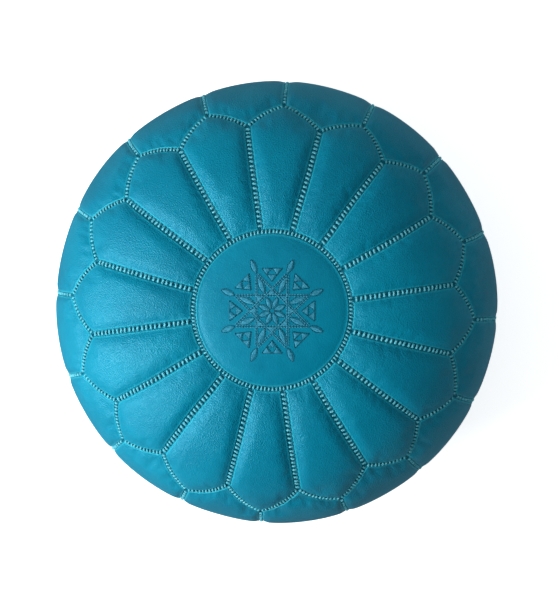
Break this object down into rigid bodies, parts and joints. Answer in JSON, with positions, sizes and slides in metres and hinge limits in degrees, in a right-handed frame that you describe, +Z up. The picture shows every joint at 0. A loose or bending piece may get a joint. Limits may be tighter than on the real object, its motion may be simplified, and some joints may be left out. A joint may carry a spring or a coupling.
{
  "type": "floor pouf",
  "caption": "Round stuffed leather floor pouf with a petalled top, an embroidered medallion, panelled sides and a zipped base.",
  "frame": {"origin": "on the floor, at the middle of the base", "axes": "+Z up through the medallion; the zipper runs along X and closes towards +X; -Y is the front"},
  "size_m": [0.5208, 0.5208, 0.3009],
  "materials": {
    "leather": "satin, finely grained, turquoise",
    "embroidery": "silky thread, a tone lighter than the leather",
    "thread": "matt pale turquoise",
    "tape": "woven",
    "teeth": "moulded",
    "nickel": "nickel plated",
    "cotton": "unbleached plain weave",
    "stuffing": "loose fibre"
  },
  "bodies": {
    "cover": {"medallion": "leather", "petal_01": "leather", "petal_02": "leather", "petal_03": "leather", "petal_04": "leather", "petal_05": "leather", "petal_06": "leather", "petal_07": "leather", "petal_08": "leather", "petal_09": "leather", "petal_10": "leather", "petal_11": "leather", "petal_12": "leather", "petal_13": "leather", "petal_14": "leather", "petal_15": "leather", "petal_16": "leather", "side_panel_01": "leather", "side_panel_02": "leather", "side_panel_03": "leather", "side_panel_04": "leather", "side_panel_05": "leather", "side_panel_06": "leather", "side_panel_07": "leather", "side_panel_08": "leather", "side_panel_09": "leather", "side_panel_10": "leather", "side_panel_11": "leather", "side_panel_12": "leather", "side_panel_13": "leather", "side_panel_14": "leather", "side_panel_15": "leather", "side_panel_16": "leather", "base_front": "leather", "base_back": "leather", "star_embroidery": "embroidery", "petal_seam_thread": "thread", "side_seam_thread": "thread", "base_seam_thread": "thread", "zipper_tape_front": "tape", "zipper_tape_back": "tape", "zipper_teeth_front": "teeth", "zipper_teeth_back": "teeth", "zipper_end_stop": "teeth", "zipper_top_stop": "teeth", "lining_bag": "cotton", "stuffing": "stuffing"},
    "slider": {"zipper_slider": "nickel"},
    "pull": {"zipper_pull": "nickel"}
  },
  "joints": [
    {"name": "zipper_slide", "type": "slide", "parent": "cover", "child": "slider", "axis": [1, 0, 0], "range_m": [-0.21, 0], "deforming": ["zipper_teeth_front", "zipper_teeth_back"]},
    {"name": "pull_hinge", "type": "hinge", "parent": "slider", "child": "pull", "pos_m": [0.11, 0, 0.0064], "axis": [0, -1, 0], "range_deg": [0, 175]}
  ]
}
